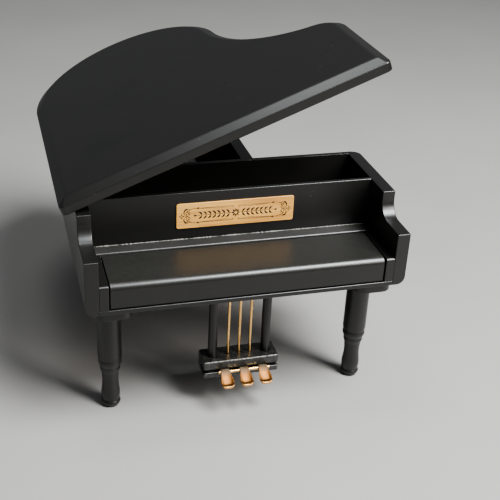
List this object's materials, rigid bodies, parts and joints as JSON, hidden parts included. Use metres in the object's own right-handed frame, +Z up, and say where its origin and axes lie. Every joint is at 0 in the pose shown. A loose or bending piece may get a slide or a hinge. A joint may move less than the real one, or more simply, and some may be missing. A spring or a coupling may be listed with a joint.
{
  "type": "grand piano music box",
  "caption": "Miniature grand piano trinket box in black lacquer, with a propped lid, turned legs, pedal lyre and a music movement in its tail.",
  "frame": {"origin": "bottom centre of the object's box at rest, on the surface that the feet stand on", "axes": "+X towards the treble side, +Y from the keyboard towards the tail, +Z up"},
  "size_m": [0.178, 0.218, 0.1892],
  "materials": {
    "black_lacquer": "satin black lacquer on wood",
    "veneer": "light varnished veneer",
    "brass": "polished brass",
    "steel": "bright steel",
    "ivory_plastic": "moulded ivory plastic",
    "black_plastic": "moulded black plastic",
    "black_felt": "black felt",
    "clear_plastic": "clear plastic"
  },
  "bodies": {
    "case": {"left_side": "black_lacquer", "right_side": "black_lacquer", "rear_partition": "black_lacquer", "tail_rim": "black_lacquer", "bottom_board": "black_lacquer", "fascia": "black_lacquer", "ledge_strip": "black_lacquer", "key_block_left": "black_lacquer", "key_block_right": "black_lacquer", "keybed": "black_lacquer", "white_keys": "ivory_plastic", "black_keys": "black_plastic", "fallboard_pins": "steel", "plaque": "veneer", "trough_lining": "black_felt", "hinge_case_leaves": "brass", "hinge_pins": "steel", "hinge_case_screws": "brass", "prop_pivot": "brass", "leg_plate_left": "black_lacquer", "leg_plate_right": "black_lacquer", "leg_plate_rear": "black_lacquer", "leg_left": "black_lacquer", "leg_right": "black_lacquer", "leg_rear": "black_lacquer", "foot_pads": "black_felt", "plate_screws": "brass", "lyre_plate": "black_lacquer", "lyre_post_left": "black_lacquer", "lyre_post_right": "black_lacquer", "lyre_rods": "brass", "lyre_block": "black_lacquer", "pedal_crossbar": "brass", "pedal_left": "brass", "pedal_middle": "brass", "pedal_right": "brass", "movement_base": "steel", "spring_housing": "brass", "cylinder_bearings": "steel", "comb": "steel", "comb_screws": "brass", "governor": "steel", "movement_cover": "clear_plastic", "movement_screws": "steel"},
    "lid": {"lid": "black_lacquer", "hinge_lid_leaves": "brass", "hinge_lid_screws": "brass", "prop_cup": "brass"},
    "fallboard": {"fallboard": "black_lacquer"},
    "lid_prop": {"lid_prop": "black_lacquer"},
    "music_cylinder": {"music_cylinder": "brass"},
    "winding_key": {"winding_shaft": "steel", "winding_key": "brass"}
  },
  "joints": [
    {"name": "lid_hinge", "type": "hinge", "parent": "case", "child": "lid", "pos_m": [-0.08261, -0.017, 0.1177], "axis": [0, -1, 0], "range_deg": [-22, 0]},
    {"name": "prop_fold", "type": "hinge", "parent": "case", "child": "lid_prop", "pos_m": [-0.02901, -0.0266, 0.1075], "axis": [0, -1, 0], "range_deg": [-72, 0]},
    {"name": "fallboard_hinge", "type": "hinge", "parent": "case", "child": "fallboard", "pos_m": [0.00399, -0.0785, 0.0874], "axis": [-1, 0, 0], "range_deg": [0, 90]},
    {"name": "key_turn", "type": "hinge", "parent": "case", "child": "winding_key", "pos_m": [-0.03951, 0.031, 0.064], "axis": [0, 0, 1], "continuous": true},
    {"name": "cylinder_turn", "type": "hinge", "parent": "case", "child": "music_cylinder", "pos_m": [-0.01801, 0.03, 0.0872], "axis": [1, 0, 0], "continuous": true}
  ],
  "couplings": [
    {"joint": "prop_fold", "follows": "lid_hinge", "ratio": 3.2726}
  ]
}
